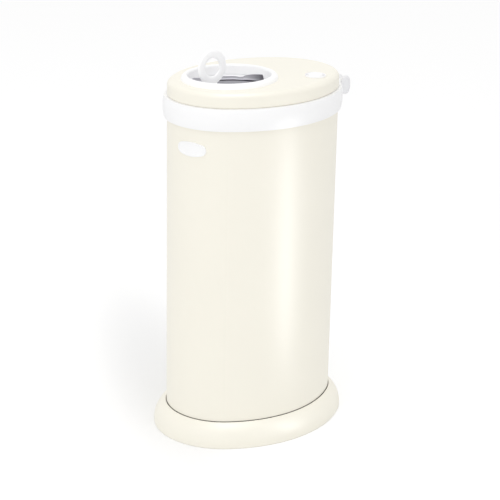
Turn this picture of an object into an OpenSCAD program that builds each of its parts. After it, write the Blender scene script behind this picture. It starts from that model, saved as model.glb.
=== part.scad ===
// Nappy bin: an oval steel pail with a domed base, a white collar, a hinged lid
// and a door under the lid that slides back when its ring handle is pushed.
// Millimetres, +Z up, front towards -X. The origin is on the floor under the
// centre of the oval body.

/* [Body] */
// Radius of the body's two end arcs
body_end_r = 86.5; // [80:0.5:92]
// Stretch of the body's oval: half width less the end radius, a third of half length less it
body_stretch = 17.5; // [16:0.5:21]
// Thickness of the rolled steel shell
shell_t = 0.8; // [0.6:0.1:1.6]
// Width of the lap seam behind the shell
seam_w = 14; // [8:1:24]
// Height of the body between the base's edge and the collar
body_h = 453; // [380:5:520]

/* [Base] */
// Height of the base's upper edge above the floor
base_h = 36; // [32:1:48]
// How far the base stands out from the body
base_flare = 19; // [14:1:24]
// Straight height at the foot of the domed skirt
base_toe = 6; // [4:1:8]
// Wall of the base
base_t = 2.5; // [1.5:0.1:3.5]
// Shadow gap between the base's edge and the body
base_gap = 1.2; // [0.6:0.1:2]
// Depth of the seat that the body stands in
seat_depth = 5; // [3:0.5:8]
// Width of the seat's ledge, inwards from the body
ledge_w = 15; // [12:1:20]
// Upstand of the floor pan's rim
pan_rim_h = 14; // [8:1:24]
// Thickness of the floor pan
pan_t = 1.2; // [0.8:0.1:2]
// How far the rubber foot ring stands below the base
foot_drop = 1; // [0.6:0.1:2]
// Width of the foot ring on the floor
foot_w = 8; // [5:0.5:12]
// Height of the foot ring's upstand inside the base
foot_sink = 4; // [3:0.5:6]

/* [Collar] */
// Height of the collar
collar_h = 32; // [28:1:38]
// How far the collar's edges stand out from the body
collar_edge = 4.5; // [3:0.5:6]
// How far the collar's belly stands out from the body
collar_belly = 6.5; // [6:0.1:8]
// Thickness of the collar's web and flanges
collar_web = 3; // [2:0.5:4]
// Height of the shell that the collar covers
collar_grip = 12; // [9:1:14]
// Width of the collar's top face, inwards from the body
collar_top_in = 5; // [4:0.5:7]
// Width of the bag ring
bag_ring_w = 17; // [12:1:22]
// Height of the bag ring
bag_ring_h = 5; // [4:0.5:6]

/* [Lid] */
// Height of the steel lid above the collar
lid_h = 22.5; // [20:0.5:26]
// Sheet thickness of the lid
lid_t = 1.2; // [0.8:0.1:1.6]
// Radius of the lid's shoulder
lid_shoulder = 8; // [5:0.5:10]
// Thickness of the lid's seal
seal_t = 1; // [0.8:0.1:1.5]
// Thickness of the liner's flange
liner_t = 3; // [2:0.5:4]
// Diameter of the liner's screw bosses
boss_d = 8; // [7:0.5:9]

/* [Well] */
// Radius of the two end arcs of the well's mouth
well_end_r = 53; // [50:0.5:55]
// Stretch of the well's oval, as for the body
well_stretch = 3.5; // [2.5:0.25:4.5]
// Centre of the well, forward of the lid's centre
well_forward = 47; // [44:0.5:50]
// Height of the rim above the lid
rim_h = 7.5; // [6:0.5:9]
// Width of the rim around the well
rim_w = 10; // [9:0.5:11]
// Wall of the well
well_t = 2.5; // [2:0.1:3]
// Depth of the white well below the rim's top
well_depth = 15; // [13:0.5:18]
// Depth of the rubber skirt under the well
skirt_depth = 17.4; // [14:0.2:20]

/* [Door] */
// Thickness of the sliding door
door_t = 3; // [2:0.5:4]
// How far the door reaches past the well on every side
door_lap = 3.5; // [3:0.5:5]
// Travel of the door
door_travel = 75; // [60:1:76]
// Outer diameter of the ring handle
ring_d = 51; // [46:1:54]
// Diameter of the finger hole
ring_hole_d = 27; // [24:1:29]
// Thickness of the ring handle
ring_t = 5; // [4:0.5:8]
// Height of the ring's centre above the door
ring_up = 46.5; // [46:0.5:52]
// Place of the ring, forward of the lid's centre
ring_forward = 80; // [76:1:84]
// Length of a runner beside the door
runner_l = 50; // [40:1:56]

/* [Lock] */
// Place of the lock button, behind the lid's centre
lock_back = 66; // [62:1:70]
// Distance of the lock button in from the lid's near edge
lock_in = 43; // [41:1:46]
// Diameter of the button's cap
button_d = 23; // [20:0.5:25]
// Height of the button's cap above the lid
button_up = 3.5; // [3:0.5:6]
// Travel of the button
button_travel = 3; // [2:0.5:3.5]
// Width of the ring round the button
lock_ring_w = 3.5; // [3:0.5:5]

/* [Hinge] */
// Hinge axis behind the body's oval
hinge_back = 15.5; // [15.5:0.5:20]
// Hinge axis below the collar's top
hinge_down = 9.5; // [9.5:0.5:13]
// Outer radius of the knuckles
knuckle_r = 8.5; // [7:0.5:8.5]
// Diameter of the hinge pin
pin_d = 5; // [4:0.5:6]
// Length of the hinge between its end caps
hinge_l = 62; // [52:1:68]
// Length of the lid's knuckle
knuckle_l = 37; // [30:1:40]
// Height of an oval end cap
cap_h = 29; // [25:1:30]
// Width of an oval end cap
cap_w = 18; // [17:0.5:19]
// Thickness of an end cap
cap_t = 4; // [3:0.5:5]

/* [Badge] */
// Length of the blank badge
badge_l = 48; // [40:1:54]
// Height of the blank badge
badge_h = 21; // [17:1:24]
// Middle of the badge below the collar
badge_down = 31; // [26:1:40]
// Turn of the badge from the front, about the end arc's centre
badge_turn = 16; // [0:1:24]

/* [Fits] */
// Running clearance of the hinge pin, on radius
pin_fit = 0.05; // [0.02:0.01:0.1]
// Clearance between pieces that slide on each other
slide_gap = 0.3; // [0.2:0.05:0.4]
// Clearance between pieces that are fitted together
seat_gap = 0.1; // [0.05:0.05:0.2]

/* [Hidden] */
$fn = 96;

cream = [0.96, 0.94, 0.89];
white = [0.97, 0.97, 0.97];
rubber = [0.16, 0.16, 0.18];
steel = [0.72, 0.73, 0.75];

// ---- Ovals of four true arcs ----
// An oval E is [radius of its end arcs r, stretch k]. The centres of its end arcs lie at
// (3k, 0) and (-3k, 0), those of its long arcs at (0, 4k) and (0, -4k), and the long arcs'
// radius is r + 5k, so the arcs meet tangentially on the slope of a 3-4-5 triangle.
BODY = [body_end_r, body_stretch];
WELL = [well_end_r, well_stretch];

function half_l(E) = E[0] + 3 * E[1];
function half_w(E) = E[0] + E[1];
function long_r(E) = E[0] + 5 * E[1];
// A point on the rear end arc moved out by d, at angle t about the arc's centre
function on_end(E, d, t) = [3 * E[1] + (E[0] + d) * cos(t), (E[0] + d) * sin(t)];

body_a = half_l(BODY);
body_b = half_w(BODY);
well_b = half_w(WELL);

// Heights, from the floor up
base_z = foot_drop;
ledge_z = base_h - seat_depth;
collar_z = base_h + body_h;
shell_top_z = collar_z + collar_grip;
collar_top_z = collar_z + collar_h;
liner_z = collar_top_z + seal_t;
lid_top_z = collar_top_z + lid_h;
rim_z = lid_top_z + rim_h;
well_floor_z = rim_z - well_depth;
skirt_z = well_floor_z - skirt_depth;
door_z = skirt_z - slide_gap - door_t;

lock_side = body_b - lock_in;
hinge_x = body_a + hinge_back;
hinge_z = collar_top_z - hinge_down;

screw_r = 2;
screw_head_r = 3.4;
screw_head_h = 2;
boss_in = lid_shoulder + boss_d / 2;
liner_w = lid_shoulder + boss_d;

// ---- Sweeps round an oval ----

// The part of its child that lies within 53.13 degrees of +X, to either side
module end_wedge() {
    intersection() {
        children();
        linear_extrude(height = 1400, center = true) polygon([[0, 0], [300, -400], [300, 400]]);
    }
}

// The part of its child that lies within 36.87 degrees of +Y, to either side, beyond y = 4k
module long_wedge(k) {
    intersection() {
        children();
        linear_extrude(height = 1400, center = true)
            polygon([[-3 * k, 4 * k], [3 * k, 4 * k], [300, 400], [-300, 400]]);
    }
}

// Sweeps a profile round the oval: its x is the distance out from the oval, its y the height
module around(E) {
    for (s = [0, 1]) mirror([s, 0, 0]) translate([3 * E[1], 0, 0])
        end_wedge() rotate_extrude() translate([E[0], 0]) children();
    for (s = [0, 1]) mirror([0, s, 0]) translate([0, -4 * E[1], 0])
        long_wedge(E[1]) rotate_extrude() translate([long_r(E), 0]) children();
}

// A solid oval plate, d larger than E on every side
module oval_plate(E, d, h) {
    for (s = [0, 1]) mirror([s, 0, 0]) translate([3 * E[1], 0, 0])
        end_wedge() cylinder(r = E[0] + d, h = h);
    for (s = [0, 1]) mirror([0, s, 0]) translate([0, -4 * E[1], 0])
        long_wedge(E[1]) cylinder(r = long_r(E) + d, h = h);
}

// A rectangle of a profile, from two opposite corners
module bar(x0, z0, x1, z1) {
    translate([x0, z0]) square([x1 - x0, z1 - z0]);
}

// A cylinder along Y, centred
module rod_y(r, l) {
    rotate([90, 0, 0]) cylinder(r = r, h = l, center = true);
}

// A flat-headed screw with its head down and its shank up from z = 0
module screw(shank) {
    translate([0, 0, -screw_head_h]) difference() {
        cylinder(r = screw_head_r, h = screw_head_h);
        translate([0, 0, -1]) cylinder(r = 1.6, h = 2, $fn = 6);
    }
    cylinder(r = screw_r, h = shank);
}

// ---- Base ----

dome_w = base_flare - base_gap - base_t / 2;
dome_h = base_h - base_toe;
dome_r = (dome_h * dome_h + dome_w * dome_w) / (2 * dome_w);

module dome_profile(inset) {
    intersection() {
        translate([base_flare - dome_r, base_toe]) circle(r = dome_r - inset);
        bar(base_gap + (inset > 0 ? base_t : 0), base_toe, base_flare, base_h);
    }
    bar(base_gap + (inset > 0 ? base_t : 0), base_z - (inset > 0 ? 1 : 0),
        base_flare - inset, base_toe);
}

base_screw_places = [for (t = [-46, 46], s = [-1, 1]) s * on_end(BODY, -9, t)];

module base_screw_holes() {
    for (p = base_screw_places) translate([p[0], p[1], ledge_z - base_t - 1])
        cylinder(r = screw_r + seat_gap, h = base_t + 4);
}

module base_skirt() color(cream) {
    difference() {
        around(BODY) difference() {
            union() {
                dome_profile(0);
                bar(-ledge_w, ledge_z - base_t, base_gap + base_t, ledge_z);
            }
            difference() {
                dome_profile(base_t);
                bar(-ledge_w, ledge_z - base_t, base_flare, ledge_z);
            }
            bar(-ledge_w, ledge_z, base_gap, base_h + 1);
        }
        base_screw_holes();
    }
}

module foot_ring() color(rubber) {
    inner = base_flare - base_t - seat_gap;
    around(BODY) {
        bar(base_flare - foot_w, 0, base_flare - base_gap / 2, base_z);
        bar(inner - 2, base_z / 2, inner, base_z + foot_sink);
    }
}

module base_screws() color(steel) {
    for (p = base_screw_places) translate([p[0], p[1], ledge_z - base_t])
        screw(base_t + pan_t);
}

module floor_pan() color(steel) {
    difference() {
        translate([0, 0, ledge_z]) oval_plate(BODY, -shell_t - slide_gap, pan_rim_h);
        translate([0, 0, ledge_z + pan_t]) oval_plate(BODY, -shell_t - slide_gap - pan_t, pan_rim_h);
        base_screw_holes();
    }
}

// ---- Body ----

module body_shell() color(cream) {
    around(BODY) bar(-shell_t, ledge_z, 0, shell_top_z);
    seam_turn = seam_w / body_end_r * 180 / PI;
    seam_z = ledge_z + pan_rim_h + 1;
    translate([3 * body_stretch, 0, 0]) rotate(-seam_turn / 2)
        rotate_extrude(angle = seam_turn) translate([body_end_r, 0])
            bar(-2 * shell_t, seam_z, -shell_t / 2, collar_z);
}

badge_t = 2.2;
badge_rim = 2;
badge_sink = 0.8;

// The badge's full-ended oval, moved in by d. Its arcs meet on the slope of a 7-24-25 triangle.
module badge_oval(d) {
    k = (badge_l - badge_h) / 12;
    end_r = badge_l / 2 - 7 * k - d;
    for (s = [-1, 1]) translate([s * 7 * k, 0]) circle(r = end_r);
    intersection() {
        translate([0, -24 * k]) circle(r = end_r + 25 * k);
        translate([0, 24 * k]) circle(r = end_r + 25 * k);
        square([14 * k + end_r * 14 / 25, badge_h], center = true);
    }
}

// The same oval as a prism along X, which reaches out through the body's wall
module badge_prism(d) {
    translate([body_end_r / 2, 0, 0]) rotate([90, 0, 90])
        linear_extrude(height = body_end_r) badge_oval(d);
}

module badge_blank() color(white) {
    inner_r = body_end_r + seat_gap;
    translate([-3 * body_stretch, 0, collar_z - badge_down]) rotate(180 + badge_turn)
        difference() {
            intersection() {
                badge_prism(0);
                cylinder(r = inner_r + badge_t, h = 2 * badge_h, center = true);
            }
            cylinder(r = inner_r, h = 3 * badge_h, center = true);
            difference() {
                badge_prism(badge_rim);
                cylinder(r = inner_r + badge_t - badge_sink, h = 3 * badge_h, center = true);
            }
        }
}

// ---- Collar ----

belly_rise = collar_belly - collar_edge;
belly_r = (pow(collar_h / 2, 2) + pow(belly_rise, 2)) / (2 * belly_rise);
web_top_z = shell_top_z + collar_web;
web_in = 9;
web_bead_h = 2;
lip_t = 1.6;

lug_l = hinge_l / 2 - knuckle_l / 2 - slide_gap;
lug_mid = hinge_l / 2 - lug_l / 2;

module collar_band() color(white) {
    difference() {
        union() {
            around(BODY) {
                intersection() {
                    translate([collar_belly - belly_r, collar_z + collar_h / 2]) circle(r = belly_r);
                    bar(seat_gap, collar_z, collar_belly, collar_top_z);
                }
                bar(-web_in, shell_top_z, collar_edge / 2, web_top_z);
                bar(-collar_top_in, collar_top_z - collar_web, collar_edge / 2, collar_top_z);
                bar(-shell_t - seat_gap - lip_t, collar_z + lip_t / 2, -shell_t - seat_gap,
                    shell_top_z + collar_web / 2);
                bar(-web_in, web_top_z - collar_web / 2, lip_t - web_in, web_top_z + web_bead_h);
            }
            for (s = [-1, 1]) translate([hinge_x, s * lug_mid, hinge_z]) {
                rod_y(knuckle_r, lug_l);
                translate([-hinge_back - lip_t / 2, -lug_l / 2, -knuckle_r * 0.75])
                    cube([hinge_back + lip_t / 2, lug_l, knuckle_r * 1.5]);
            }
        }
        translate([hinge_x, 0, hinge_z]) rod_y(pin_d / 2 + pin_fit, 2 * hinge_l);
    }
}

cap_bore = 2.2;
module hinge_pin() color(steel) {
    translate([hinge_x, 0, hinge_z]) rod_y(pin_d / 2, hinge_l + 2 * (cap_bore - seat_gap));
}

// An upright oval with half round ends, thickness l along Y
module cap_form(inset, l) {
    r = cap_w / 2;
    rotate([90, 0, 0]) linear_extrude(height = l, center = true) {
        for (s = [-1, 1]) translate([0, s * (cap_h / 2 - r)]) circle(r = r - inset);
        square([2 * (r - inset), cap_h - 2 * r], center = true);
    }
}

module hinge_caps() color(white) {
    for (s = [-1, 1]) translate([hinge_x, s * (hinge_l / 2 + cap_t / 2), hinge_z]) difference() {
        union() {
            cap_form(0, cap_t);
            translate([0, s * cap_t / 2, 0]) cap_form(1.6, 1.6);
        }
        translate([0, s * (cap_t / 2 + 0.8), 0]) cap_form(3.4, 1.6);
        translate([0, -s * cap_t / 2, 0]) rod_y(pin_d / 2 + pin_fit, 2 * cap_bore);
    }
}

module bag_ring() color(white) {
    outer = -collar_top_in - slide_gap;
    inner = outer - bag_ring_w;
    around(BODY) {
        bar(lip_t - web_in + slide_gap, web_top_z, outer, web_top_z + bag_ring_h - 1);
        bar(inner, web_top_z + bag_ring_h - 2, outer, web_top_z + bag_ring_h);
        bar(inner, web_top_z - 2, inner + 2, web_top_z + bag_ring_h - 1);
    }
}

// ---- Lid ----

lid_edge_w = 24;
arm_gap = 0.5;

// The lid's side, shoulder and top as one filled profile, inset by t
module lid_form(t) {
    low = liner_z + slide_gap - t;
    bar(-lid_edge_w, low, -t, lid_top_z - lid_shoulder);
    bar(-lid_edge_w, low, -lid_shoulder, lid_top_z - t);
    translate([-lid_shoulder, lid_top_z - lid_shoulder]) circle(r = lid_shoulder - t);
}

button_fit_d = button_d + 2 * slide_gap;
sleeve_t = 1.2;

module lid_cover() color(cream) {
    difference() {
        union() {
            around(BODY) difference() {
                lid_form(0);
                lid_form(lid_t);
            }
            translate([0, 0, lid_top_z - lid_t]) oval_plate(BODY, 0.5 - lid_edge_w, lid_t);
        }
        translate([-well_forward, 0, lid_top_z - 2 * lid_t])
            oval_plate(WELL, well_t + slide_gap, 3 * lid_t);
        translate([lock_back, -lock_side, lid_top_z - 2 * lid_t])
            cylinder(d = button_fit_d + 2 * (sleeve_t + seat_gap), h = 3 * lid_t);
        translate([body_a - liner_w, -knuckle_l / 2 - arm_gap, liner_z - liner_t])
            cube([2 * liner_w, knuckle_l + 2 * arm_gap, 2 * liner_t + slide_gap]);
    }
}

boss_places = concat(
    [for (t = [-38, 38], s = [-1, 1]) s * on_end(BODY, -boss_in, t)],
    [for (s = [-1, 1]) [0, s * (body_b - boss_in)]]
);

module lid_liner() color(white) {
    arm_top = liner_z + liner_t;
    difference() {
        union() {
            around(BODY) bar(-liner_w, liner_z, -lid_t - slide_gap, liner_z + liner_t);
            for (p = boss_places) translate([p[0], p[1], liner_z])
                cylinder(d = boss_d, h = lid_top_z - lid_t - liner_z);
            rotate([90, 0, 0]) linear_extrude(height = knuckle_l, center = true) {
                translate([hinge_x, hinge_z]) circle(r = knuckle_r);
                bar(hinge_x - knuckle_r, hinge_z, hinge_x + knuckle_r, arm_top - knuckle_r);
                translate([hinge_x, arm_top - knuckle_r]) circle(r = knuckle_r);
                bar(hinge_x - knuckle_r, arm_top - knuckle_r, hinge_x, arm_top);
                bar(body_a - 6, liner_z, hinge_x, arm_top);
            }
        }
        translate([hinge_x, 0, hinge_z]) rod_y(pin_d / 2 + pin_fit, 2 * knuckle_l);
        for (p = boss_places) translate([p[0], p[1], liner_z - 1])
            cylinder(r = screw_r + seat_gap, h = lid_top_z - lid_t - liner_z - 2);
    }
}

module liner_screws() color(steel) {
    for (p = boss_places) translate([p[0], p[1], liner_z])
        screw(lid_top_z - lid_t - liner_z - 4);
}

module lid_gasket() color(rubber) {
    around(BODY) bar(-collar_top_in + 0.5, collar_top_z, -1, liner_z);
}

// ---- Well ----

rim_round = 3;
rim_out = rim_w - rim_round;
rim_r = (rim_out * rim_out + rim_h * rim_h) / (2 * rim_h);

module bezel() color(white) {
    translate([-well_forward, 0, 0]) around(WELL) difference() {
        union() {
            bar(0, well_floor_z, well_t, rim_z - rim_round);
            translate([rim_round, rim_z - rim_round]) circle(r = rim_round);
            bar(0.3, lid_top_z, rim_round + 0.1, rim_z - rim_round);
            intersection() {
                translate([rim_round, rim_z - rim_r]) circle(r = rim_r);
                bar(rim_round, lid_top_z, rim_w + 2, rim_z);
            }
        }
        bar(rim_round + 1.2, lid_top_z - 1, rim_w - 2.4, lid_top_z + rim_h / 2);
    }
}

module slide_gasket() color(rubber) {
    mid_z = (skirt_z + well_floor_z) / 2;
    translate([-well_forward, 0, 0]) around(WELL) {
        bar(0.2, skirt_z, well_t, well_floor_z);
        translate([0.7, mid_z]) circle(r = 1);
        bar(well_t + seat_gap, well_floor_z - 2, well_t + 1.5, well_floor_z + 3);
        bar(well_t - 0.5, well_floor_z - 2, well_t + 1.5, well_floor_z - seat_gap);
    }
}

// ---- Door ----

door_top_z = door_z + door_t;
runner_in = well_b - 2.5;
runner_out = well_b + door_lap + 1.7;
rail_t = 2;
rail_x0 = -well_forward - runner_l / 2 - 3;
rail_x1 = min(-well_forward + runner_l / 2 + door_travel, lock_back - button_fit_d / 2 - sleeve_t - 1);

module slide_rails() color(white) {
    wall_y = runner_out + slide_gap;
    for (s = [0, 1]) mirror([0, s, 0]) translate([rail_x0, 0, 0]) {
        translate([0, wall_y, door_z - slide_gap - rail_t])
            cube([rail_x1 - rail_x0, rail_t, lid_top_z - lid_t - door_z + slide_gap + rail_t]);
        translate([0, wall_y - 4, door_z - slide_gap - rail_t])
            cube([rail_x1 - rail_x0, 4 + rail_t, rail_t]);
        translate([0, wall_y - 1.2, door_top_z + slide_gap])
            cube([rail_x1 - rail_x0, 1.2 + rail_t, rail_t]);
        for (i = [0 : 4])
            translate([i * (rail_x1 - rail_x0 - 4) / 4, wall_y, lid_top_z - lid_t - 12]) cube([4, 8, 12]);
    }
}

handle_screw_x = 10;

module door_plate() color(white) {
    difference() {
        translate([-well_forward, 0, door_z]) oval_plate(WELL, door_lap, door_t);
        for (s = [0, 1]) mirror([0, s, 0])
            translate([-well_forward - runner_l / 2 - seat_gap, runner_in - seat_gap, door_z - 1])
                cube([runner_l + 2 * seat_gap, 20, door_t + 2]);
        for (x = [-handle_screw_x, handle_screw_x]) translate([x - ring_forward, 0, door_z - 1])
            cylinder(r = screw_r + seat_gap, h = door_t + 2);
    }
}

module door_runners() color(rubber) {
    for (s = [0, 1]) mirror([0, s, 0])
        translate([-well_forward - runner_l / 2, runner_in, door_z])
            cube([runner_l, runner_out - runner_in, door_t]);
}

stem_w = 16;
stem_round = 7;
handle_foot_d = 13;
handle_foot_h = 4;

module ring_handle() color(white) {
    mean_r = (ring_d + ring_hole_d) / 4;
    half_w = (ring_d - ring_hole_d) / 4;
    translate([-ring_forward, 0, door_top_z]) difference() {
        union() {
            translate([0, 0, ring_up]) rotate([90, 0, 0]) rotate_extrude() translate([mean_r, 0]) {
                for (s = [-1, 1]) translate([s * (half_w - ring_t / 2), 0]) circle(d = ring_t);
                square([2 * half_w - ring_t, ring_t], center = true);
            }
            rotate([90, 0, 0]) linear_extrude(height = ring_t, center = true) {
                translate([-stem_w / 2, 0]) square([stem_w, ring_up - mean_r]);
                translate([0, handle_foot_h]) difference() {
                    translate([-stem_w / 2 - stem_round, -handle_foot_h / 2])
                        square([stem_w + 2 * stem_round, stem_round + handle_foot_h / 2]);
                    for (s = [-1, 1]) translate([s * (stem_w / 2 + stem_round), stem_round])
                        circle(r = stem_round);
                }
            }
            for (s = [-1, 1]) translate([s * handle_screw_x, 0, 0])
                cylinder(d = handle_foot_d, h = handle_foot_h);
            translate([-handle_screw_x, -handle_foot_d / 2, 0])
                cube([2 * handle_screw_x, handle_foot_d, handle_foot_h]);
        }
        for (x = [-handle_screw_x, handle_screw_x]) translate([x, 0, -1])
            cylinder(r = screw_r + seat_gap, h = handle_foot_h);
    }
}

module handle_screws() color(steel) {
    for (x = [-handle_screw_x, handle_screw_x]) translate([x - ring_forward, 0, door_z])
        screw(door_t + 2.5);
}

// ---- Lock ----

button_r = button_d / 2;
button_low_z = lid_top_z - 1;
lock_floor_z = button_low_z - button_travel - 7.5;
lock_pin_r = 3;
lock_pin_l = 16;
ring_lip_t = 1.6;

module at_lock(z) {
    translate([lock_back, -lock_side, z]) children();
}

module lock_ring() color(white) {
    at_lock(0) rotate_extrude() {
        bore = button_r + slide_gap;
        edge = bore + sleeve_t + lock_ring_w - ring_lip_t;
        bar(bore, lid_top_z, edge, lid_top_z + ring_lip_t);
        translate([edge, lid_top_z + ring_lip_t / 2]) circle(d = ring_lip_t);
        bar(bore, lock_floor_z, bore + sleeve_t, lid_top_z + 1);
        bar(lock_pin_r + slide_gap, lock_floor_z - 1.5, bore + sleeve_t, lock_floor_z);
    }
}

module lock_button() color(white) {
    dome = 1.6;
    crown_r = (button_r * button_r + dome * dome) / (2 * dome);
    at_lock(0) rotate_extrude() intersection() {
        bar(0, button_low_z, button_r, lid_top_z + button_up);
        translate([0, lid_top_z + button_up - crown_r]) circle(r = crown_r);
    }
}

module lock_pin() color(steel) {
    at_lock(button_low_z - lock_pin_l) cylinder(r = lock_pin_r, h = lock_pin_l);
}

module lock_spring() color(steel) {
    at_lock(lock_floor_z) difference() {
        cylinder(r = 5.6, h = button_low_z - lock_floor_z);
        translate([0, 0, -lock_pin_r]) cylinder(r = 4.2, h = 2 * lock_pin_l);
    }
}

base_skirt();
foot_ring();
floor_pan();
body_shell();
collar_band();
bag_ring();
badge_blank();
hinge_pin();
hinge_caps();
base_screws();
lid_cover();
lid_liner();
bezel();
slide_gasket();
lid_gasket();
slide_rails();
lock_ring();
liner_screws();
door_plate();
ring_handle();
door_runners();
handle_screws();
lock_button();
lock_pin();
lock_spring();
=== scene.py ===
from math import asin, atan2, cos, degrees, exp, pi, radians, sin

import bpy
from mathutils import Matrix, Vector


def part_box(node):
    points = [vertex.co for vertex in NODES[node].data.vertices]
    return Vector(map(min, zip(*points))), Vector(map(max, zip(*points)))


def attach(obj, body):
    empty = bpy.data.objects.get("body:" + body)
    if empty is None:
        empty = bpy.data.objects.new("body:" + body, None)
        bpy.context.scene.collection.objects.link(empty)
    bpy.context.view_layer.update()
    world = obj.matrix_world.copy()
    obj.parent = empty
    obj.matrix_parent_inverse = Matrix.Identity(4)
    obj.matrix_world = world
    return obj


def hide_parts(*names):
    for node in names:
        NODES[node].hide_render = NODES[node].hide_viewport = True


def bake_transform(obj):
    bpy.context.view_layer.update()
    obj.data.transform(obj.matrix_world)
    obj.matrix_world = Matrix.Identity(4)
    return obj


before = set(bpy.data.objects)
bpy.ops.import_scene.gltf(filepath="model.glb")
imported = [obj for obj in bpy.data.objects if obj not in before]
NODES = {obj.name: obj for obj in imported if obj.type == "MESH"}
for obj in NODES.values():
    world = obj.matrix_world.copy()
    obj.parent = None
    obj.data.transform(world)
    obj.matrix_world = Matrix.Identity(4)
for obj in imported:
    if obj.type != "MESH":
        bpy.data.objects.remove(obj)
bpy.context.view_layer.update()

SPIN_SIGN = -1  # mesh.spin turns clockwise for a positive angle

bl_info = {
    "name": "Nappy bin",
    "version": (1, 0, 0),
    "blender": (4, 5, 0),
    "location": "View3D > Sidebar > Nappy Bin",
    "description": "Models and finishes an oval steel nappy bin over its engineering parts",
    "category": "Add Mesh",
}

CREAM_STEEL = ("base_skirt", "lid_cover", "floor_pan")
WHITE_PLASTIC = ("collar_band", "bag_ring", "badge_blank", "lid_liner", "slide_rails", "lock_ring")
# A lighter copy of the white plastic: painted light on the bezel, door, ring handle and button
LIT_WHITE_PLASTIC = ("bezel", "door_plate", "ring_handle", "lock_button")
# The hinge caps take a greyer copy of the white plastic: painted shade
SHADED_PLASTIC = ("hinge_caps",)
DARK_RUBBER = ("slide_gasket", "door_runners")
PALE_SEAL = ("lid_gasket", "foot_ring")
BRIGHT_STEEL = ("hinge_pin", "base_screws", "liner_screws", "handle_screws", "lock_pin",
                "lock_spring")

# Each lamp's name, azimuth and rise in degrees, distance, height of its aim and size in
# metres, power in watts, and whether it shows in gloss only
LAMPS = (("fill_softbox", 208, 36, 3.0, 0.3, (2.4, 2.4), 12.5, False),
         ("top_softbox", 230, 80, 2.8, 0.3, (2.4, 2.4), 10, False),
         ("spot_softbox", 236, 64, 1.6, 0.3, (0.5, 0.5), 14.0, True),
         ("strip_light", 289, 0, 0.41, 0.20, (0.075, 0.38), 1.1, True))

# Painted shadow on the floor beside the bin, a soft grey oval:
# centre, turn, and half length and half width
SHADE_CENTRE = (-0.0175, 0.209, 0)
SHADE_TURN = radians(62)
SHADE_REACH = (0.6, 0.15, 1)


# ---- Helpers ----

def start_clean():
    """Leave object mode clean, with nothing selected."""
    if bpy.context.object and bpy.context.object.mode != "OBJECT":
        bpy.ops.object.mode_set(mode="OBJECT")
    bpy.ops.object.select_all(action="DESELECT")


def apply_place(piece):
    """Put the piece's place, turn and scale into its mesh."""
    start_clean()
    piece.select_set(True)
    bpy.context.view_layer.objects.active = piece
    bpy.ops.object.transform_apply(location=True, rotation=True, scale=True)


def edit(piece):
    """Enter edit mode on one piece with everything selected."""
    start_clean()
    piece.select_set(True)
    bpy.context.view_layer.objects.active = piece
    bpy.ops.object.mode_set(mode="EDIT")
    bpy.ops.mesh.select_all(action="SELECT")


def close_form(piece, gap=1e-6):
    """Merge what meets, turn the faces outwards and leave edit mode."""
    edit(piece)
    bpy.ops.mesh.remove_doubles(threshold=gap)
    bpy.ops.mesh.normals_make_consistent(inside=False)
    bpy.ops.object.mode_set(mode="OBJECT")


def smooth_edges(piece, angle=35):
    """Shade smooth, but keep edges sharper than the angle."""
    start_clean()
    piece.select_set(True)
    bpy.context.view_layer.objects.active = piece
    bpy.ops.object.shade_smooth_by_angle(angle=radians(angle))


def flattened(value, power):
    """A sine or cosine raised to a power with its sign kept, to square off a round."""
    return abs(value) ** power * (1 if value > 0 else -1)


def profile_piece(name, points):
    """A closed loop of edges through the given points, as the start of a spin."""
    start_clean()
    bpy.ops.mesh.primitive_circle_add(vertices=len(points), radius=0.01, fill_type="NOTHING")
    piece = bpy.context.object
    piece.name = name
    for vertex, point in zip(piece.data.vertices, points):
        vertex.co = point
    return piece


def turned(name, profile, centre, steps=64):
    """Turn a closed profile of (radius, height) points about an upright axis at centre."""
    x, y, z = centre
    piece = profile_piece(name, [(x + r, y, z + h) for r, h in profile])
    edit(piece)
    bpy.ops.mesh.spin(steps=steps, angle=2 * pi, center=(x, y, z), axis=(0, 0, 1))
    close_form(piece)
    smooth_edges(piece)
    return piece


def swept_oval(name, oval, middle, profile, steps=(40, 26)):
    """Sweep a closed profile of (out, height) points round an oval of four tangent arcs.

    The end arcs' centres lie 3k before and behind the middle, the long arcs' 4k to each side,
    and the long arcs are 5k wider in radius, so that all four meet on a 3-4-5 slope."""
    end_r, k = oval
    piece = profile_piece(name, [
        (middle + 3 * k + (end_r + out) * 0.6, -(end_r + out) * 0.8, height)
        for out, height in profile])
    half = asin(0.8)
    arcs = ((middle + 3 * k, 0, 2 * half, steps[0]), (middle, -4 * k, pi - 2 * half, steps[1]),
            (middle - 3 * k, 0, 2 * half, steps[0]), (middle, 4 * k, pi - 2 * half, steps[1]))
    edit(piece)
    for x, y, angle, count in arcs:
        bpy.ops.mesh.spin(steps=count, angle=SPIN_SIGN * angle, center=(x, y, 0), axis=(0, 0, 1))
    close_form(piece, 1e-5)
    return piece


def use_modifier(piece, kind, **settings):
    """Add one modifier and apply it."""
    start_clean()
    piece.select_set(True)
    bpy.context.view_layer.objects.active = piece
    modifier = piece.modifiers.new(kind.lower(), kind)
    for label, value in settings.items():
        setattr(modifier, label, value)
    bpy.ops.object.modifier_apply(modifier=modifier.name)


def join(first, *others):
    """Join pieces into the first."""
    start_clean()
    for piece in (first, *others):
        piece.select_set(True)
    bpy.context.view_layer.objects.active = first
    bpy.ops.object.join()


def fit(piece, body, slot, material, *nodes):
    """Dress a finished piece, and let it stand for its nodes on their body."""
    dress(piece, material)
    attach(piece, body)
    if nodes:
        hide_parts(*nodes)


# ---- Materials ----

def new_material(name):
    """An empty node material; returns it with its nodes, links and output."""
    material = bpy.data.materials.new(name)
    material.use_nodes = True
    nodes = material.node_tree.nodes
    nodes.clear()
    output = nodes.new("ShaderNodeOutputMaterial")
    output.location = (600, 0)
    return material, nodes, material.node_tree.links, output


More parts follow.
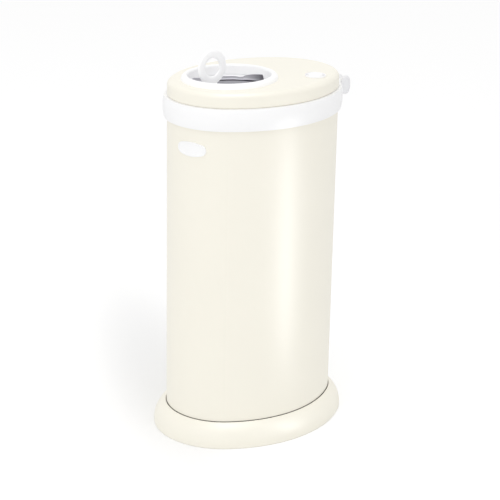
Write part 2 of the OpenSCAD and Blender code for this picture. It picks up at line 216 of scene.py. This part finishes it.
def surface_shader(nodes, links, output, **sockets):
    """A Principled shader with plain values on its own sockets."""
    shader = nodes.new("ShaderNodeBsdfPrincipled")
    shader.location = (300, 0)
    for label, value in sockets.items():
        shader.inputs[label.replace("_", " ")].default_value = value
    links.new(shader.outputs["BSDF"], output.inputs["Surface"])
    return shader


def coat_grain_group():
    """Node group: fine orange peel with a slow drift of colour and gloss."""
    group = bpy.data.node_groups.new("coat_grain", "ShaderNodeTree")
    face = group.interface
    for label, kind, value in (("Color", "NodeSocketColor", (0.8, 0.8, 0.8, 1)),
                               ("Roughness", "NodeSocketFloat", 0.4),
                               ("Peel Scale", "NodeSocketFloat", 900.0),
                               ("Peel Depth", "NodeSocketFloat", 0.05),
                               ("Drift", "NodeSocketFloat", 0.02)):
        face.new_socket(label, in_out="INPUT", socket_type=kind).default_value = value
    for label, kind in (("Color", "NodeSocketColor"), ("Roughness", "NodeSocketFloat"),
                        ("Normal", "NodeSocketVector")):
        face.new_socket(label, in_out="OUTPUT", socket_type=kind)
    nodes, links = group.nodes, group.links
    source = nodes.new("NodeGroupInput")
    sink = nodes.new("NodeGroupOutput")
    coords = nodes.new("ShaderNodeTexCoord")
    peel = nodes.new("ShaderNodeTexNoise")
    peel.inputs["Detail"].default_value = 2.0
    links.new(coords.outputs["Object"], peel.inputs["Vector"])
    links.new(source.outputs["Peel Scale"], peel.inputs["Scale"])
    bump = nodes.new("ShaderNodeBump")
    bump.inputs["Distance"].default_value = 0.0004
    links.new(source.outputs["Peel Depth"], bump.inputs["Strength"])
    links.new(peel.outputs["Fac"], bump.inputs["Height"])
    drift = nodes.new("ShaderNodeTexNoise")
    drift.inputs["Scale"].default_value = 9.0
    drift.inputs["Detail"].default_value = 3.0
    links.new(coords.outputs["Object"], drift.inputs["Vector"])
    centred = nodes.new("ShaderNodeMath")
    centred.operation = "SUBTRACT"
    centred.inputs[1].default_value = 0.5
    links.new(drift.outputs["Fac"], centred.inputs[0])
    amount = nodes.new("ShaderNodeMath")
    amount.operation = "MULTIPLY"
    links.new(centred.outputs[0], amount.inputs[0])
    links.new(source.outputs["Drift"], amount.inputs[1])
    shade = nodes.new("ShaderNodeHueSaturation")
    value = nodes.new("ShaderNodeMath")
    value.operation = "ADD"
    value.inputs[1].default_value = 1.0
    links.new(amount.outputs[0], value.inputs[0])
    links.new(value.outputs[0], shade.inputs["Value"])
    links.new(source.outputs["Color"], shade.inputs["Color"])
    gloss = nodes.new("ShaderNodeMath")
    gloss.operation = "MULTIPLY_ADD"
    gloss.inputs[1].default_value = 2.0
    links.new(amount.outputs[0], gloss.inputs[0])
    links.new(source.outputs["Roughness"], gloss.inputs[2])
    links.new(shade.outputs["Color"], sink.inputs["Color"])
    links.new(gloss.outputs[0], sink.inputs["Roughness"])
    links.new(bump.outputs["Normal"], sink.inputs["Normal"])
    return group


def add_grain(nodes, links, shader, roughness, peel_scale, peel_depth, drift):
    """Feed a shader from the coat grain group; returns the group's node."""
    grain = nodes.new("ShaderNodeGroup")
    grain.node_tree = bpy.data.node_groups["coat_grain"]
    for label, value in (("Roughness", roughness), ("Peel Scale", peel_scale),
                         ("Peel Depth", peel_depth), ("Drift", drift)):
        grain.inputs[label].default_value = value
    for output, socket in (("Color", "Base Color"), ("Roughness", "Roughness"),
                           ("Normal", "Normal")):
        links.new(grain.outputs[output], shader.inputs[socket])
    return grain


def coated_material(name, color, roughness, peel_scale, peel_depth, drift, **sockets):
    """A coated or moulded surface: Principled shader fed by the coat grain group."""
    material, nodes, links, output = new_material(name)
    shader = surface_shader(nodes, links, output, **sockets)
    grain = add_grain(nodes, links, shader, roughness, peel_scale, peel_depth, drift)
    grain.inputs["Color"].default_value = (*color, 1)
    return material


def body_material(cream, joint):
    """The cream coat, with a dark band of painted shade in the joint where the body stands in the
    base.
    """
    material = coated_material("body_coat_painted_joint_shade", cream, 0.42, 700, 0.06, 0.03, Specular_IOR_Level=0.5)
    nodes, links = material.node_tree.nodes, material.node_tree.links
    grain = next(node for node in nodes if node.type == "GROUP")
    coords = nodes.new("ShaderNodeTexCoord")
    height = nodes.new("ShaderNodeSeparateXYZ")
    above = nodes.new("ShaderNodeMapRange")
    above.interpolation_type = "SMOOTHSTEP"
    for label, value in (("From Min", joint + 0.0003), ("From Max", joint + 0.0013)):
        above.inputs[label].default_value = value
    # Dark end of the ramp: painted shade in the joint gap just above the base's rim
    ramp = nodes.new("ShaderNodeValToRGB")
    ramp.color_ramp.elements[0].color = (0.14, 0.13, 0.115, 1)
    ramp.color_ramp.elements[1].color = (*cream, 1)
    links.new(coords.outputs["Object"], height.inputs[0])
    links.new(height.outputs["Z"], above.inputs["Value"])
    links.new(above.outputs["Result"], ramp.inputs["Fac"])
    links.new(ramp.outputs["Color"], grain.inputs["Color"])
    return material


def skirt_material(dark):
    """Rubber that follows the piece's own tone attribute, from dark to a pale violet grey, painted
    shade and a painted highlight included.
    """
    material, nodes, links, output = new_material("skirt_rubber")
    shader = surface_shader(nodes, links, output, Specular_IOR_Level=0.4)
    tone = nodes.new("ShaderNodeAttribute")
    tone.attribute_name = "tone"
    ramp = nodes.new("ShaderNodeValToRGB")
    ramp.color_ramp.elements[0].color = (*dark, 1)
    ramp.color_ramp.elements[1].color = (0.95, 0.95, 0.96, 1)
    ramp.color_ramp.elements.new(0.8).color = (0.84, 0.83, 0.89, 1)
    links.new(tone.outputs["Fac"], ramp.inputs["Fac"])
    grain = add_grain(nodes, links, shader, 0.45, 1100, 0.08, 0.1)
    links.new(ramp.outputs["Color"], grain.inputs["Color"])
    return material


def dress(piece, material):
    """Give a piece or a CAD node one material all over."""
    if not piece.material_slots:
        piece.data.materials.append(material)
    for slot in piece.material_slots:
        slot.material = material


# ---- Properties ----

class NappyBinSizes(bpy.types.PropertyGroup):
    """Sizes that a user would change."""
    camera_distance: bpy.props.FloatProperty(
        name="Camera distance", description="Level distance from the bin's middle to the camera",
        default=2.357, unit="LENGTH")
    camera_height: bpy.props.FloatProperty(
        name="Camera height", description="Height of the camera above the floor",
        default=1.112, unit="LENGTH")
    camera_side: bpy.props.FloatProperty(
        name="Camera side shift",
        description="How far the camera stands to its right of the line to the bin",
        default=-0.0013, unit="LENGTH")
    camera_heading: bpy.props.FloatProperty(
        name="Camera heading", description="Compass direction of the view, from +X towards +Y",
        default=radians(49.593), subtype="ANGLE")
    camera_pitch: bpy.props.FloatProperty(
        name="Camera pitch", description="How far the view points down",
        default=radians(19.687), subtype="ANGLE")
    camera_roll: bpy.props.FloatProperty(
        name="Camera roll", description="Turn of the camera about its view",
        default=radians(1.111), subtype="ANGLE")
    lens: bpy.props.FloatProperty(
        name="Lens", description="Focal length on a 36 mm wide sensor, in millimetres",
        default=118.08)


class NappyBinColors(bpy.types.PropertyGroup):
    """Colours that a user would change."""
    cream: bpy.props.FloatVectorProperty(
        name="Cream coat", description="Powder coat of the body, base and lid",
        subtype="COLOR", size=3, min=0, max=1, default=(0.925, 0.895, 0.795))
    white: bpy.props.FloatVectorProperty(
        name="White plastic", description="Moulded collar, liner, rails, badge and lock",
        subtype="COLOR", size=3, min=0, max=1, default=(0.955, 0.955, 0.96))
    # Lighter than the white plastic: painted light on the bezel, door and ring handle
    pale: bpy.props.FloatVectorProperty(
        name="Lighter white plastic", description="Moulded bezel, door and ring handle",
        subtype="COLOR", size=3, min=0, max=1, default=(0.985, 0.985, 0.99))
    # Greyer than the white plastic: painted shade on the hinge caps
    cap: bpy.props.FloatVectorProperty(
        name="Cap plastic", description="Moulded caps over the ends of the hinge",
        subtype="COLOR", size=3, min=0, max=1, default=(0.86, 0.86, 0.88))
    rubber: bpy.props.FloatVectorProperty(
        name="Dark rubber", description="Skirt under the well and the runners of the door",
        subtype="COLOR", size=3, min=0, max=1, default=(0.055, 0.052, 0.065))
    seal: bpy.props.FloatVectorProperty(
        name="Pale seal", description="Seal between the lid and the collar, and the foot ring",
        subtype="COLOR", size=3, min=0, max=1, default=(0.80, 0.77, 0.69))
    steel: bpy.props.FloatVectorProperty(
        name="Bright steel", description="Pins and screws",
        subtype="COLOR", size=3, min=0, max=1, default=(0.60, 0.60, 0.62))


# ---- Operators ----

class NAPPYBIN_OT_finish_parts(bpy.types.Operator):
    """Give every engineering part its coat, plastic, rubber or steel"""
    bl_idname = "nappybin.finish_parts"
    bl_label = "Finish the Parts"

    def execute(self, context):
        colors = context.scene.nappybin_colors
        coat_grain_group()
        finishes = (
            (CREAM_STEEL, coated_material("cream_coat", colors.cream, 0.42, 700, 0.06, 0.03,
                                          Specular_IOR_Level=0.5)),
            (("body_shell",), body_material(colors.cream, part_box("base_skirt")[1].z)),
            (WHITE_PLASTIC, coated_material("gloss_white", colors.white, 0.42, 1500, 0.03, 0.02,
                                            Specular_IOR_Level=0.5)),
            (LIT_WHITE_PLASTIC, coated_material("white_plastic_painted_light", colors.pale, 0.34, 1500, 0.03, 0.01,
                                           Specular_IOR_Level=0.5)),
            (SHADED_PLASTIC, coated_material("cap_plastic_painted_shade", colors.cap, 0.34, 1500, 0.04, 0.02,
                                             Specular_IOR_Level=0.5)),
            (DARK_RUBBER, coated_material("dark_rubber", colors.rubber, 0.5, 1200, 0.08, 0.15,
                                          Specular_IOR_Level=0.5)),
            (PALE_SEAL, coated_material("pale_seal", colors.seal, 0.5, 1200, 0.08, 0.1,
                                        Specular_IOR_Level=0.4)),
            (BRIGHT_STEEL, coated_material("bright_steel", colors.steel, 0.25, 2500, 0.05, 0.1,
                                           Metallic=1.0)),
        )
        for names, material in finishes:
            for name in names:
                dress(NODES[name], material)
        return {"FINISHED"}


class NAPPYBIN_OT_ring_handle(bpy.types.Operator):
    """Mould the ring handle with its stem and foot in one piece"""
    bl_idname = "nappybin.ring_handle"
    bl_label = "Ring Handle"

    THICK = 0.005
    HOLE_RADIUS = 0.0135
    SECTION_POINTS = 20
    SECTION_POWER = 0.72
    VOXEL = 0.00055

    def execute(self, context):
        low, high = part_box("ring_handle")
        outer = (high.x - low.x) / 2
        x, top = (high.x + low.x) / 2, high.z
        band, middle = (outer - self.HOLE_RADIUS) / 2, (outer + self.HOLE_RADIUS) / 2
        z = top - outer
        loop = []
        for i in range(self.SECTION_POINTS):
            a = 2 * pi * i / self.SECTION_POINTS
            loop.append((x + middle + band * flattened(cos(a), self.SECTION_POWER),
                         self.THICK / 2 * flattened(sin(a), self.SECTION_POWER), z))
        ring = profile_piece("ring_handle_moulded", loop)
        edit(ring)
        bpy.ops.mesh.spin(steps=96, angle=2 * pi, center=(x, 0, z), axis=(0, 1, 0))
        close_form(ring)
        stem = self.stem(x, low.z, z - middle)
        join(ring, stem)
        use_modifier(ring, "REMESH", mode="VOXEL", voxel_size=self.VOXEL)
        use_modifier(ring, "SMOOTH", factor=0.5, iterations=8)
        smooth_edges(ring, 60)
        fit(ring, "door", "white_plastic", bpy.data.materials["white_plastic_painted_light"], "ring_handle")
        return {"FINISHED"}

    def stem(self, x, foot, top):
        """The foot on the door, and the post that is drawn in and out again up to the ring."""
        start_clean()
        bpy.ops.mesh.primitive_cube_add(size=1, location=(x, 0, foot + 0.002))
        stem = bpy.context.object
        stem.scale = (0.0325, 0.0126, 0.0038)
        apply_place(stem)
        use_modifier(stem, "BEVEL", width=0.0042, segments=5, limit_method="ANGLE", affect="EDGES")
        start_clean()
        bpy.ops.mesh.primitive_cube_add(size=1, location=(x, 0, foot + 0.0025))
        post = bpy.context.object
        post.scale = (0.031, 0.0105, 0.003)
        apply_place(post)
        edit(post)
        bpy.ops.mesh.select_all(action="DESELECT")
        bpy.ops.object.mode_set(mode="OBJECT")
        for face in post.data.polygons:
            face.select = face.normal.z > 0.9
        bpy.ops.object.mode_set(mode="EDIT")
        bpy.ops.mesh.select_mode(type="FACE")
        steps = ((0.0022, 0.80, 0.76), (0.0024, 0.82, 0.78), (0.0032, 0.86, 0.84),
                 (0.0040, 0.93, 0.95), (top - foot - 0.0158, 1.0, 1.0))
        for rise, wide, deep in steps:
            bpy.ops.mesh.extrude_region_move(TRANSFORM_OT_translate={"value": (0, 0, rise)})
            bpy.ops.transform.resize(value=(wide, deep, 1), center_override=(x, 0, foot))
        bpy.ops.object.mode_set(mode="OBJECT")
        join(stem, post)
        return stem


class NAPPYBIN_OT_well_skirt(bpy.types.Operator):
    """Sweep the dark rubber skirt under the well, with its groove, its rib and its wavy lip"""
    bl_idname = "nappybin.well_skirt"
    bl_label = "Well Skirt"

    # Height above the skirt's foot and depth out from the well's wall, in millimetres,
    # the rubber's lightness, and how much of the lip's wave the level takes
    # Painted shade: lightness 0 in the groove; painted highlight: the pale levels at the rib (9.1
    # to 10.7)
    INNER_LEVELS = ((0.2, 0.8, 0.15, 0), (0.7, 0.2, 0.20, 0), (3.2, 0.1, 0.38, 0),
                    (7.1, 0.0, 0.36, 0), (7.4, 1.3, 0.0, 0.1), (8.8, 1.3, 0.0, 0.1),
                    (9.1, -0.3, 0.60, 0.2),
                    (9.9, -0.7, 0.84, 0.25), (10.7, -0.4, 0.60, 0.3), (11.7, -0.3, 0.42, 0.5),
                    (13.1, -0.45, 0.40, 0.8), (14.1, -0.55, 0.34, 1), (14.6, -0.35, 0.9, 1))
    BACK_LEVELS = ((14.9, -0.08, 1.0, 1), (17.1, 0.9, 1.0, 0), (16.9, 2.3, 0.2, 0),
                   (0.6, 2.3, 0.1, 0))
    OVAL = (0.053, 0.0035)  # end radius and stretch of the well's wall
    # The lip's wave: rises and depth in millimetres, turns about the well in degrees
    REAR_RISE, REAR_REACH, REAR_CUT, REAR_POWER = 7.4, 31, 3, 0.6
    DIP_DEPTH, DIP_TURN, DIP_SPREAD = 1.2, 36, 5
    FRONT_RISE, FRONT_TURN, FRONT_REACH = 4.8, 92, 24
    # Painted shade at the rear end of the well: tone at the rear, the turn over which it clears,
    # and the palest tone that takes it
    REAR_TONE, CLEAR_TURN, PALE_TONE = 0.12, 34, 0.85

    def execute(self, context):
        low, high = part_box("slide_gasket")
        middle = (low.x + high.x) / 2
        levels = self.INNER_LEVELS + self.BACK_LEVELS
        profile = [(out / 1000, low.z + rise / 1000) for rise, out, tone, share in levels]
        skirt = swept_oval("slide_skirt", self.OVAL, middle, profile, (60, 46))
        tones = skirt.data.attributes.new("tone", "FLOAT", "POINT")
        by_height = {round(rise, 1): (tone, share) for rise, out, tone, share in levels}
        for vertex in skirt.data.vertices:
            turn = degrees(atan2(vertex.co.y, vertex.co.x - middle))
            tone, share = by_height[round((vertex.co.z - low.z) * 1000, 1)]
            tones.data[vertex.index].value = tone * self.shade(turn, tone)
            vertex.co.z += share * self.wave(turn) / 1000
        smooth_edges(skirt, 60)
        rubber = skirt_material(context.scene.nappybin_colors.rubber)
        fit(skirt, "lid", "dark_rubber", rubber, "slide_gasket")
        return {"FINISHED"}

    def wave(self, turn):
        """How far the skirt's lip rises at a turn about the well, in millimetres."""
        around = abs(turn)
        reach = self.REAR_REACH if turn >= 0 else self.REAR_CUT
        rear = self.REAR_RISE * max(0.0, 1 - around / reach) ** self.REAR_POWER
        dip = self.DIP_DEPTH * exp(-((around - self.DIP_TURN) / self.DIP_SPREAD) ** 2)
        front = min(1.0, max(0.0, (around - self.FRONT_TURN) / self.FRONT_REACH))
        return rear - dip + self.FRONT_RISE * front

    def shade(self, turn, tone):
        """Painted shade: darkening of the rubber towards the rear end of the well, but not of the
        pale edge.
        """
        if tone > self.PALE_TONE:
            return 1.0
        return min(1.0, self.REAR_TONE + abs(turn) / self.CLEAR_TURN)


class NAPPYBIN_OT_hinge_caps(bpy.types.Operator):
    """Shape the two domed oval caps at the ends of the hinge"""
    bl_idname = "nappybin.hinge_caps"
    bl_label = "Hinge Caps"

    LIP = 0.0048  # how far a cap's crown stands out from its seat
    # How far each ring of the cap's face is drawn in, and how far out it lies from the seat
    RINGS = ((1.0, 0.0022), (0.985, 0.0028), (0.95, 0.0033), (0.88, 0.0037), (0.76, 0.0040),
             (0.70, 0.00405), (0.68, 0.0036), (0.65, 0.0036), (0.63, 0.0041),
             (0.50, 0.0044), (0.30, 0.0047))
    MIDDLE = 0.12  # share of the last ring, at the crown
    OVAL_POWER = 0.86

    def execute(self, context):
        low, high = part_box("hinge_caps")
        x, z = (low.x + high.x) / 2, (low.z + high.z) / 2
        wide, tall = (high.x - low.x) / 2, (high.z - low.z) / 2
        seat = high.y - self.LIP
        near = self.cap(x, z, wide, tall, seat, high.y)
        start_clean()
        near.select_set(True)
        bpy.context.view_layer.objects.active = near
        bpy.ops.object.duplicate(linked=False)
        far = bpy.context.object
        far.scale.y = -1
        apply_place(far)
        join(near, far)
        close_form(near)
        near.name = "hinge_caps_domed"
        smooth_edges(near, 50)
        fit(near, "pail", "white_plastic", bpy.data.materials["cap_plastic_painted_shade"], "hinge_caps")
        return {"FINISHED"}

    def cap(self, x, z, wide, tall, seat, crown):
        """One cap at -Y: an oval face, raised and drawn in ring by ring."""
        start_clean()
        bpy.ops.mesh.primitive_circle_add(vertices=72, radius=1, fill_type="NGON")
        cap = bpy.context.object
        for vertex in cap.data.vertices:
            a = atan2(vertex.co.y, vertex.co.x)
            vertex.co = (x + wide * flattened(cos(a), self.OVAL_POWER), -seat,
                         z + tall * flattened(sin(a), self.OVAL_POWER))
        edit(cap)
        bpy.ops.mesh.select_mode(type="FACE")
        share = 1.0
        for to, reach in (*self.RINGS, (self.MIDDLE, crown - seat)):
            bpy.ops.mesh.extrude_region_move()
            bpy.ops.transform.resize(value=(to / share, 1, to / share), center_override=(x, 0, z))
            share = to
            bpy.ops.object.mode_set(mode="OBJECT")
            for face in cap.data.polygons:
                if face.select:
                    for index in face.vertices:
                        cap.data.vertices[index].co.y = -seat - reach
            bpy.ops.object.mode_set(mode="EDIT")
        bpy.ops.object.mode_set(mode="OBJECT")
        return cap


class NAPPYBIN_OT_lock(bpy.types.Operator):
    """Turn the lock's button and ring, and wind its spring"""
    bl_idname = "nappybin.lock"
    bl_label = "Lock Button, Ring and Spring"

    def execute(self, context):
        low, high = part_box("lock_ring")
        x, y = (low.x + high.x) / 2, (low.y + high.y) / 2
        outer = (high.x - low.x) / 2
        lid_top = high.z - 0.0016
        floor = low.z + 0.0015 - lid_top
        bore = 0.0118
        ring = turned("lock_ring_dished", (
            (0.0033, floor - 0.0015), (bore + 0.0012, floor - 0.0015), (bore + 0.0012, 0.0),
            (outer - 0.0001, 0.0001), (outer, 0.0008), (outer - 0.0005, 0.0019),
            (outer - 0.0014, 0.0023), (bore + 0.0022, 0.0019), (bore + 0.0013, 0.0000),
            (bore + 0.0004, -0.0030), (bore, -0.0034), (bore, floor), (0.0033, floor)),
            (x, y, lid_top), 72)
        material = bpy.data.materials["gloss_white"]
        fit(ring, "lid", "white_plastic", material, "lock_ring")
        base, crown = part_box("lock_button")
        edge, rise = (crown.x - base.x) / 2, crown.z - base.z
        button = turned("lock_button_crowned", (
            (0.00002, 0.0), (edge - 0.0003, 0.0), (edge, 0.0003), (edge - 0.0006, rise - 0.0019),
            (edge - 0.0009, rise - 0.0012), (edge - 0.0014, rise - 0.00075),
            (edge - 0.0022, rise - 0.0005), (edge * 0.55, rise - 0.00015), (0.00002, rise)),
            (x, y, base.z), 72)
        fit(button, "lock", "white_plastic", material, "lock_button")
        self.spring(x, y)
        return {"FINISHED"}

    def spring(self, x, y):
        """Wind the spring up between the lid's sleeve and the button, and close its ends."""
        low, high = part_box("lock_spring")
        wire, radius, turns = 0.00055, 0.0049, 6
        steps = 28 * turns
        coil = profile_piece("lock_spring_coil", [
            (radius + wire * cos(2 * pi * i / 10), 0, wire * sin(2 * pi * i / 10))
            for i in range(10)])
        use_modifier(coil, "SCREW", axis="Z", angle=2 * pi * turns, iterations=1, steps=steps,
                     render_steps=steps, screw_offset=high.z - low.z - 2 * wire)
        edit(coil)
        bpy.ops.mesh.select_all(action="DESELECT")
        bpy.ops.mesh.select_mode(type="VERT")
        bpy.ops.mesh.select_non_manifold()
        bpy.ops.mesh.fill_holes(sides=0)
        bpy.ops.object.mode_set(mode="OBJECT")
        coil.location = (x, y, low.z + wire)
        apply_place(coil)
        close_form(coil)
        smooth_edges(coil, 50)
        dress(coil, bpy.data.materials["bright_steel"])
        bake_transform(coil)
        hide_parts("lock_spring")


class NAPPYBIN_OT_stage(bpy.types.Operator):
    """Set the floor, the lights and the camera"""
    bl_idname = "nappybin.stage"
    bl_label = "Set the Stage"

    def execute(self, context):
        self.floor()
        self.lights()
        self.world(context.scene)
        self.camera(context.scene)
        return {"FINISHED"}

    def floor(self):
        start_clean()
        bpy.ops.mesh.primitive_plane_add(size=30, location=(0, 0, 0))
        floor = bpy.context.object
        floor.name = "floor"
        material, nodes, links, output = new_material("floor_paper")
        paper = nodes.new("ShaderNodeBsdfDiffuse")
        paper.inputs["Color"].default_value = (0.92, 0.92, 0.92, 1)
        shown = nodes.new("ShaderNodeBsdfDiffuse")
        shown.inputs["Color"].default_value = (0.75, 0.75, 0.75, 1)
        lift = nodes.new("ShaderNodeEmission")
        lift.inputs["Color"].default_value = (1, 1, 1, 1)
        coords = nodes.new("ShaderNodeTexCoord")
        # Less lift inside the oval paints a soft shadow on the floor beside the bin
        oval = nodes.new("ShaderNodeMapping")
        oval.vector_type = "TEXTURE"
        oval.inputs["Location"].default_value = SHADE_CENTRE
        oval.inputs["Rotation"].default_value = (0, 0, SHADE_TURN)
        oval.inputs["Scale"].default_value = SHADE_REACH
        away = nodes.new("ShaderNodeVectorMath")
        away.operation = "LENGTH"
        painted_shadow_lift = nodes.new("ShaderNodeMapRange")
        painted_shadow_lift.interpolation_type = "SMOOTHSTEP"
        for label, value in (("From Min", 0.1), ("From Max", 1.0),
                             ("To Min", 0.16), ("To Max", 0.31)):
            painted_shadow_lift.inputs[label].default_value = value
        links.new(coords.outputs["Object"], oval.inputs["Vector"])
        links.new(oval.outputs["Vector"], away.inputs[0])
        links.new(away.outputs["Value"], painted_shadow_lift.inputs["Value"])
        links.new(painted_shadow_lift.outputs["Result"], lift.inputs["Strength"])
        lit = nodes.new("ShaderNodeAddShader")
        links.new(shown.outputs[0], lit.inputs[0])
        links.new(lift.outputs[0], lit.inputs[1])
        rays = nodes.new("ShaderNodeLightPath")
        pick = nodes.new("ShaderNodeMixShader")
        links.new(rays.outputs["Is Camera Ray"], pick.inputs["Fac"])
        links.new(paper.outputs[0], pick.inputs[1])
        links.new(lit.outputs[0], pick.inputs[2])
        links.new(pick.outputs[0], output.inputs["Surface"])
        dress(floor, material)

    def lights(self):
        for name, azimuth, rise, distance, centre, size, power, gloss_only in LAMPS:
            a, e = radians(azimuth), radians(rise)
            towards = Vector((cos(a) * cos(e), sin(a) * cos(e), sin(e)))
            start_clean()
            place = Vector((0, 0, centre)) + distance * towards
            bpy.ops.object.light_add(type="AREA", location=place)
            lamp = bpy.context.object
            lamp.name = name
            lamp.rotation_euler = towards.to_track_quat("Z", "Y").to_euler()
            lamp.data.shape = "RECTANGLE"
            lamp.data.size, lamp.data.size_y = size
            lamp.data.energy = power
            lamp.visible_diffuse = not gloss_only
            lamp.visible_camera = False

    def world(self, scene):
        world = bpy.data.worlds.new("studio")
        scene.world = world
        world.use_nodes = True
        nodes, links = world.node_tree.nodes, world.node_tree.links
        nodes.clear()
        room = nodes.new("ShaderNodeBackground")
        room.inputs["Color"].default_value = (1, 1, 1, 1)
        room.inputs["Strength"].default_value = 0.86
        seen = nodes.new("ShaderNodeBackground")
        seen.inputs["Color"].default_value = (1, 1, 1, 1)
        seen.inputs["Strength"].default_value = 1.0
        rays = nodes.new("ShaderNodeLightPath")
        either = nodes.new("ShaderNodeMath")
        either.operation = "MAXIMUM"
        pick = nodes.new("ShaderNodeMixShader")
        output = nodes.new("ShaderNodeOutputWorld")
        links.new(rays.outputs["Is Camera Ray"], either.inputs[0])
        links.new(rays.outputs["Is Glossy Ray"], either.inputs[1])
        links.new(either.outputs[0], pick.inputs["Fac"])
        links.new(room.outputs[0], pick.inputs[1])
        links.new(seen.outputs[0], pick.inputs[2])
        links.new(pick.outputs[0], output.inputs["Surface"])

    def camera(self, scene):
        sizes = scene.nappybin_sizes
        heading = sizes.camera_heading
        ahead = Vector((cos(heading), sin(heading), 0))
        right = Vector((sin(heading), -cos(heading), 0))
        place = -sizes.camera_distance * ahead + sizes.camera_side * right
        place.z = sizes.camera_height
        turn = (Matrix.Rotation(heading - pi / 2, 3, "Z")
                @ Matrix.Rotation(pi / 2 - sizes.camera_pitch, 3, "X")
                @ Matrix.Rotation(sizes.camera_roll, 3, "Z"))
        start_clean()
        bpy.ops.object.camera_add(location=place, rotation=turn.to_euler())
        camera = bpy.context.object
        camera.name = "photo_camera"
        camera.data.sensor_width = 36
        camera.data.lens = sizes.lens
        camera.data.clip_end = 60
        scene.camera = camera


class NAPPYBIN_PT_sidebar(bpy.types.Panel):
    """Lists the steps that make the bin"""
    bl_idname = "NAPPYBIN_PT_sidebar"
    bl_label = "Nappy Bin"
    bl_space_type = "VIEW_3D"
    bl_region_type = "UI"
    bl_category = "Nappy Bin"

    def draw(self, context):
        for group in (context.scene.nappybin_sizes, context.scene.nappybin_colors):
            for name in group.bl_rna.properties.keys():
                if name not in ("rna_type", "name"):
                    self.layout.prop(group, name)
        for operator in OPERATORS:
            self.layout.operator(operator.bl_idname)


OPERATORS = (NAPPYBIN_OT_finish_parts, NAPPYBIN_OT_ring_handle, NAPPYBIN_OT_well_skirt,
             NAPPYBIN_OT_hinge_caps, NAPPYBIN_OT_lock, NAPPYBIN_OT_stage)
CLASSES = (NappyBinSizes, NappyBinColors, *OPERATORS, NAPPYBIN_PT_sidebar)


def register():
    for cls in CLASSES:
        bpy.utils.register_class(cls)
    bpy.types.Scene.nappybin_sizes = bpy.props.PointerProperty(type=NappyBinSizes)
    bpy.types.Scene.nappybin_colors = bpy.props.PointerProperty(type=NappyBinColors)


def unregister():
    del bpy.types.Scene.nappybin_colors
    del bpy.types.Scene.nappybin_sizes
    for cls in reversed(CLASSES):
        bpy.utils.unregister_class(cls)


def main():
    register()
    bpy.context.scene.view_settings.view_transform = "Standard"
    for operator in OPERATORS:
        module, name = operator.bl_idname.split(".")
        getattr(getattr(bpy.ops, module), name)()


if __name__ == "__main__":
    main()
